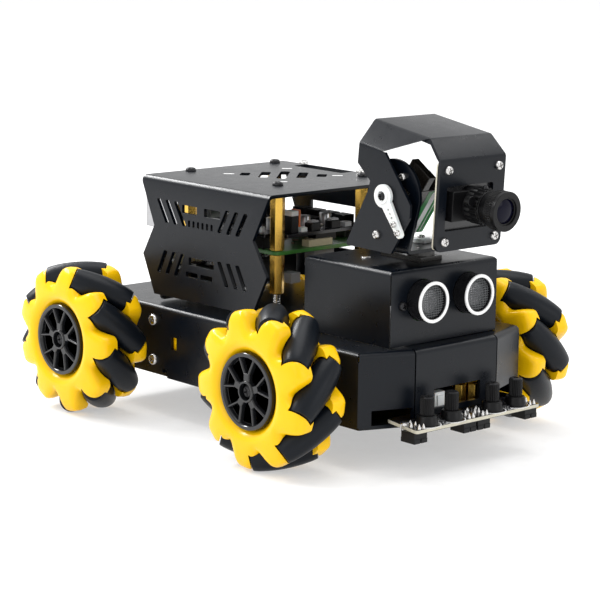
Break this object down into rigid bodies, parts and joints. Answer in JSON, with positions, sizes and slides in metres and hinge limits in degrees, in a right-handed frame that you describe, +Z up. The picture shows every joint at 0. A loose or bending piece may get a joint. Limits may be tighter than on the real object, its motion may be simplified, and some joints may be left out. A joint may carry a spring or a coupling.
{
  "type": "mecanum wheel robot",
  "caption": "Small wheeled robot that drives in any direction on mecanum wheels, with a pan and tilt camera, a sonar pair and a line sensor board.",
  "frame": {"origin": "centre of the bounding box at the floor, between the wheels", "axes": "robot faces -Y, +X is its own left, +Z up"},
  "size_m": [0.158, 0.2201, 0.1355],
  "materials": {
    "black_metal": "satin black coated sheet",
    "yellow_plastic": "glossy moulded yellow",
    "black_rubber": "semi-matte",
    "dark_plastic": "satin black",
    "green_board": "green solder mask",
    "white_nylon": "moulded white nylon",
    "lens_black": "polished dark",
    "brass_post": "machined",
    "bright_steel": "nickel plated"
  },
  "bodies": {
    "chassis": {"base_cover": "black_metal", "bottom_plate": "black_metal", "battery_pack": "dark_plastic", "gearmotor_front_right": "yellow_plastic", "gearmotor_front_left": "yellow_plastic", "gearmotor_rear_right": "yellow_plastic", "gearmotor_rear_left": "yellow_plastic", "front_housing": "black_metal", "sonar_module": "dark_plastic", "line_sensor_board": "dark_plastic", "cage_cover": "black_metal", "computer_board": "green_board", "expansion_board": "dark_plastic", "pan_servo": "dark_plastic"},
    "wheel_front_right": {"wheel_front_right": "yellow_plastic"},
    "roller_front_right_1": {"roller_front_right_1": "black_rubber"},
    "roller_front_right_2": {"roller_front_right_2": "black_rubber"},
    "roller_front_right_3": {"roller_front_right_3": "black_rubber"},
    "roller_front_right_4": {"roller_front_right_4": "black_rubber"},
    "roller_front_right_5": {"roller_front_right_5": "black_rubber"},
    "roller_front_right_6": {"roller_front_right_6": "black_rubber"},
    "roller_front_right_7": {"roller_front_right_7": "black_rubber"},
    "roller_front_right_8": {"roller_front_right_8": "black_rubber"},
    "roller_front_right_9": {"roller_front_right_9": "black_rubber"},
    "wheel_front_left": {"wheel_front_left": "yellow_plastic"},
    "roller_front_left_1": {"roller_front_left_1": "black_rubber"},
    "roller_front_left_2": {"roller_front_left_2": "black_rubber"},
    "roller_front_left_3": {"roller_front_left_3": "black_rubber"},
    "roller_front_left_4": {"roller_front_left_4": "black_rubber"},
    "roller_front_left_5": {"roller_front_left_5": "black_rubber"},
    "roller_front_left_6": {"roller_front_left_6": "black_rubber"},
    "roller_front_left_7": {"roller_front_left_7": "black_rubber"},
    "roller_front_left_8": {"roller_front_left_8": "black_rubber"},
    "roller_front_left_9": {"roller_front_left_9": "black_rubber"},
    "wheel_rear_right": {"wheel_rear_right": "yellow_plastic"},
    "roller_rear_right_1": {"roller_rear_right_1": "black_rubber"},
    "roller_rear_right_2": {"roller_rear_right_2": "black_rubber"},
    "roller_rear_right_3": {"roller_rear_right_3": "black_rubber"},
    "roller_rear_right_4": {"roller_rear_right_4": "black_rubber"},
    "roller_rear_right_5": {"roller_rear_right_5": "black_rubber"},
    "roller_rear_right_6": {"roller_rear_right_6": "black_rubber"},
    "roller_rear_right_7": {"roller_rear_right_7": "black_rubber"},
    "roller_rear_right_8": {"roller_rear_right_8": "black_rubber"},
    "roller_rear_right_9": {"roller_rear_right_9": "black_rubber"},
    "wheel_rear_left": {"wheel_rear_left": "yellow_plastic"},
    "roller_rear_left_1": {"roller_rear_left_1": "black_rubber"},
    "roller_rear_left_2": {"roller_rear_left_2": "black_rubber"},
    "roller_rear_left_3": {"roller_rear_left_3": "black_rubber"},
    "roller_rear_left_4": {"roller_rear_left_4": "black_rubber"},
    "roller_rear_left_5": {"roller_rear_left_5": "black_rubber"},
    "roller_rear_left_6": {"roller_rear_left_6": "black_rubber"},
    "roller_rear_left_7": {"roller_rear_left_7": "black_rubber"},
    "roller_rear_left_8": {"roller_rear_left_8": "black_rubber"},
    "roller_rear_left_9": {"roller_rear_left_9": "black_rubber"},
    "pan_head": {"pan_bracket": "black_metal", "tilt_servo": "dark_plastic"},
    "tilt_head": {"camera_hood": "black_metal", "tilt_horn": "white_nylon", "camera_module": "dark_plastic"},
    "lens": {"lens_barrel": "lens_black"}
  },
  "joints": [
    {"name": "wheel_front_right_spin", "type": "hinge", "parent": "chassis", "child": "wheel_front_right", "pos_m": [-0.0655, -0.0473, 0.0325], "axis": [1, 0, 0], "continuous": true},
    {"name": "roller_front_right_1_spin", "type": "hinge", "parent": "wheel_front_right", "child": "roller_front_right_1", "pos_m": [-0.0655, -0.03117, 0.05315], "axis": [0.7071, 0.5572, -0.4353], "continuous": true},
    {"name": "roller_front_right_2_spin", "type": "hinge", "parent": "wheel_front_right", "child": "roller_front_right_2", "pos_m": [-0.0655, -0.02167, 0.03795], "axis": [0.7071, 0.147, -0.6917], "continuous": true},
    {"name": "roller_front_right_3_spin", "type": "hinge", "parent": "wheel_front_right", "child": "roller_front_right_3", "pos_m": [-0.0655, -0.02417, 0.0202], "axis": [0.7071, -0.332, -0.6243], "continuous": true},
    {"name": "roller_front_right_4_spin", "type": "hinge", "parent": "wheel_front_right", "child": "roller_front_right_4", "pos_m": [-0.0655, -0.03748, 0.00821], "axis": [0.7071, -0.6556, -0.2649], "continuous": true},
    {"name": "roller_front_right_5_spin", "type": "hinge", "parent": "wheel_front_right", "child": "roller_front_right_5", "pos_m": [-0.0655, -0.0554, 0.00758], "axis": [0.7071, -0.6725, 0.2185], "continuous": true},
    {"name": "roller_front_right_6_spin", "type": "hinge", "parent": "wheel_front_right", "child": "roller_front_right_6", "pos_m": [-0.0655, -0.06952, 0.01862], "axis": [0.7071, -0.3747, 0.5997], "continuous": true},
    {"name": "roller_front_right_7_spin", "type": "hinge", "parent": "wheel_front_right", "child": "roller_front_right_7", "pos_m": [-0.0655, -0.07325, 0.03615], "axis": [0.7071, 0.0984, 0.7002], "continuous": true},
    {"name": "roller_front_right_8_spin", "type": "hinge", "parent": "wheel_front_right", "child": "roller_front_right_8", "pos_m": [-0.0655, -0.06483, 0.05197], "axis": [0.7071, 0.5255, 0.4731], "continuous": true},
    {"name": "roller_front_right_9_spin", "type": "hinge", "parent": "wheel_front_right", "child": "roller_front_right_9", "pos_m": [-0.0655, -0.04821, 0.05868], "axis": [0.7071, 0.7067, 0.0247], "continuous": true},
    {"name": "wheel_front_left_spin", "type": "hinge", "parent": "chassis", "child": "wheel_front_left", "pos_m": [0.0655, -0.0473, 0.0325], "axis": [1, 0, 0], "continuous": true},
    {"name": "roller_front_left_1_spin", "type": "hinge", "parent": "wheel_front_left", "child": "roller_front_left_1", "pos_m": [0.0655, -0.03117, 0.05315], "axis": [-0.7071, 0.5572, -0.4353], "continuous": true},
    {"name": "roller_front_left_2_spin", "type": "hinge", "parent": "wheel_front_left", "child": "roller_front_left_2", "pos_m": [0.0655, -0.02167, 0.03795], "axis": [-0.7071, 0.147, -0.6917], "continuous": true},
    {"name": "roller_front_left_3_spin", "type": "hinge", "parent": "wheel_front_left", "child": "roller_front_left_3", "pos_m": [0.0655, -0.02417, 0.0202], "axis": [-0.7071, -0.332, -0.6243], "continuous": true},
    {"name": "roller_front_left_4_spin", "type": "hinge", "parent": "wheel_front_left", "child": "roller_front_left_4", "pos_m": [0.0655, -0.03748, 0.00821], "axis": [-0.7071, -0.6556, -0.2649], "continuous": true},
    {"name": "roller_front_left_5_spin", "type": "hinge", "parent": "wheel_front_left", "child": "roller_front_left_5", "pos_m": [0.0655, -0.0554, 0.00758], "axis": [-0.7071, -0.6725, 0.2185], "continuous": true},
    {"name": "roller_front_left_6_spin", "type": "hinge", "parent": "wheel_front_left", "child": "roller_front_left_6", "pos_m": [0.0655, -0.06952, 0.01862], "axis": [-0.7071, -0.3747, 0.5997], "continuous": true},
    {"name": "roller_front_left_7_spin", "type": "hinge", "parent": "wheel_front_left", "child": "roller_front_left_7", "pos_m": [0.0655, -0.07325, 0.03615], "axis": [-0.7071, 0.0984, 0.7002], "continuous": true},
    {"name": "roller_front_left_8_spin", "type": "hinge", "parent": "wheel_front_left", "child": "roller_front_left_8", "pos_m": [0.0655, -0.06483, 0.05197], "axis": [-0.7071, 0.5255, 0.4731], "continuous": true},
    {"name": "roller_front_left_9_spin", "type": "hinge", "parent": "wheel_front_left", "child": "roller_front_left_9", "pos_m": [0.0655, -0.04821, 0.05868], "axis": [-0.7071, 0.7067, 0.0247], "continuous": true},
    {"name": "wheel_rear_right_spin", "type": "hinge", "parent": "chassis", "child": "wheel_rear_right", "pos_m": [-0.0655, 0.0775, 0.0325], "axis": [1, 0, 0], "continuous": true},
    {"name": "roller_rear_right_1_spin", "type": "hinge", "parent": "wheel_rear_right", "child": "roller_rear_right_1", "pos_m": [-0.0655, 0.06342, 0.0546], "axis": [-0.7071, 0.5964, 0.3799], "continuous": true},
    {"name": "roller_rear_right_2_spin", "type": "hinge", "parent": "wheel_rear_right", "child": "roller_rear_right_2", "pos_m": [-0.0655, 0.08092, 0.05848], "axis": [-0.7071, 0.7011, -0.0923], "continuous": true},
    {"name": "roller_rear_right_3_spin", "type": "hinge", "parent": "wheel_rear_right", "child": "roller_rear_right_3", "pos_m": [-0.0655, 0.09682, 0.0502], "axis": [-0.7071, 0.4777, -0.5213], "continuous": true},
    {"name": "roller_rear_right_4_spin", "type": "hinge", "parent": "wheel_rear_right", "child": "roller_rear_right_4", "pos_m": [-0.0655, 0.10368, 0.03364], "axis": [-0.7071, 0.0308, -0.7064], "continuous": true},
    {"name": "roller_rear_right_5_spin", "type": "hinge", "parent": "wheel_rear_right", "child": "roller_rear_right_5", "pos_m": [-0.0655, 0.09829, 0.01655], "axis": [-0.7071, -0.4305, -0.561], "continuous": true},
    {"name": "roller_rear_right_6_spin", "type": "hinge", "parent": "wheel_rear_right", "child": "roller_rear_right_6", "pos_m": [-0.0655, 0.08317, 0.00692], "axis": [-0.7071, -0.6903, -0.153], "continuous": true},
    {"name": "roller_rear_right_7_spin", "type": "hinge", "parent": "wheel_rear_right", "child": "roller_rear_right_7", "pos_m": [-0.0655, 0.0654, 0.00926], "axis": [-0.7071, -0.6272, 0.3265], "continuous": true},
    {"name": "roller_rear_right_8_spin", "type": "hinge", "parent": "wheel_rear_right", "child": "roller_rear_right_8", "pos_m": [-0.0655, 0.05329, 0.02247], "axis": [-0.7071, -0.2706, 0.6533], "continuous": true},
    {"name": "roller_rear_right_9_spin", "type": "hinge", "parent": "wheel_rear_right", "child": "roller_rear_right_9", "pos_m": [-0.0655, 0.05251, 0.04038], "axis": [-0.7071, 0.2126, 0.6744], "continuous": true},
    {"name": "wheel_rear_left_spin", "type": "hinge", "parent": "chassis", "child": "wheel_rear_left", "pos_m": [0.0655, 0.0775, 0.0325], "axis": [1, 0, 0], "continuous": true},
    {"name": "roller_rear_left_1_spin", "type": "hinge", "parent": "wheel_rear_left", "child": "roller_rear_left_1", "pos_m": [0.0655, 0.06342, 0.0546], "axis": [0.7071, 0.5964, 0.3799], "continuous": true},
    {"name": "roller_rear_left_2_spin", "type": "hinge", "parent": "wheel_rear_left", "child": "roller_rear_left_2", "pos_m": [0.0655, 0.08092, 0.05848], "axis": [0.7071, 0.7011, -0.0923], "continuous": true},
    {"name": "roller_rear_left_3_spin", "type": "hinge", "parent": "wheel_rear_left", "child": "roller_rear_left_3", "pos_m": [0.0655, 0.09682, 0.0502], "axis": [0.7071, 0.4777, -0.5213], "continuous": true},
    {"name": "roller_rear_left_4_spin", "type": "hinge", "parent": "wheel_rear_left", "child": "roller_rear_left_4", "pos_m": [0.0655, 0.10368, 0.03364], "axis": [0.7071, 0.0308, -0.7064], "continuous": true},
    {"name": "roller_rear_left_5_spin", "type": "hinge", "parent": "wheel_rear_left", "child": "roller_rear_left_5", "pos_m": [0.0655, 0.09829, 0.01655], "axis": [0.7071, -0.4305, -0.561], "continuous": true},
    {"name": "roller_rear_left_6_spin", "type": "hinge", "parent": "wheel_rear_left", "child": "roller_rear_left_6", "pos_m": [0.0655, 0.08317, 0.00692], "axis": [0.7071, -0.6903, -0.153], "continuous": true},
    {"name": "roller_rear_left_7_spin", "type": "hinge", "parent": "wheel_rear_left", "child": "roller_rear_left_7", "pos_m": [0.0655, 0.0654, 0.00926], "axis": [0.7071, -0.6272, 0.3265], "continuous": true},
    {"name": "roller_rear_left_8_spin", "type": "hinge", "parent": "wheel_rear_left", "child": "roller_rear_left_8", "pos_m": [0.0655, 0.05329, 0.02247], "axis": [0.7071, -0.2706, 0.6533], "continuous": true},
    {"name": "roller_rear_left_9_spin", "type": "hinge", "parent": "wheel_rear_left", "child": "roller_rear_left_9", "pos_m": [0.0655, 0.05251, 0.04038], "axis": [0.7071, 0.2126, 0.6744], "continuous": true},
    {"name": "camera_pan", "type": "hinge", "parent": "chassis", "child": "pan_head", "pos_m": [0, -0.0635, 0.085], "axis": [0, 0, 1], "range_deg": [-90, 90]},
    {"name": "camera_tilt", "type": "hinge", "parent": "pan_head", "child": "tilt_head", "pos_m": [0, -0.0681, 0.1071], "axis": [1, 0, 0], "range_deg": [-12, 25]},
    {"name": "lens_focus", "type": "hinge", "parent": "tilt_head", "child": "lens", "pos_m": [0, -0.10497, 0.10367], "axis": [0, -0.9986, -0.0523], "range_deg": [-180, 180]}
  ]
}
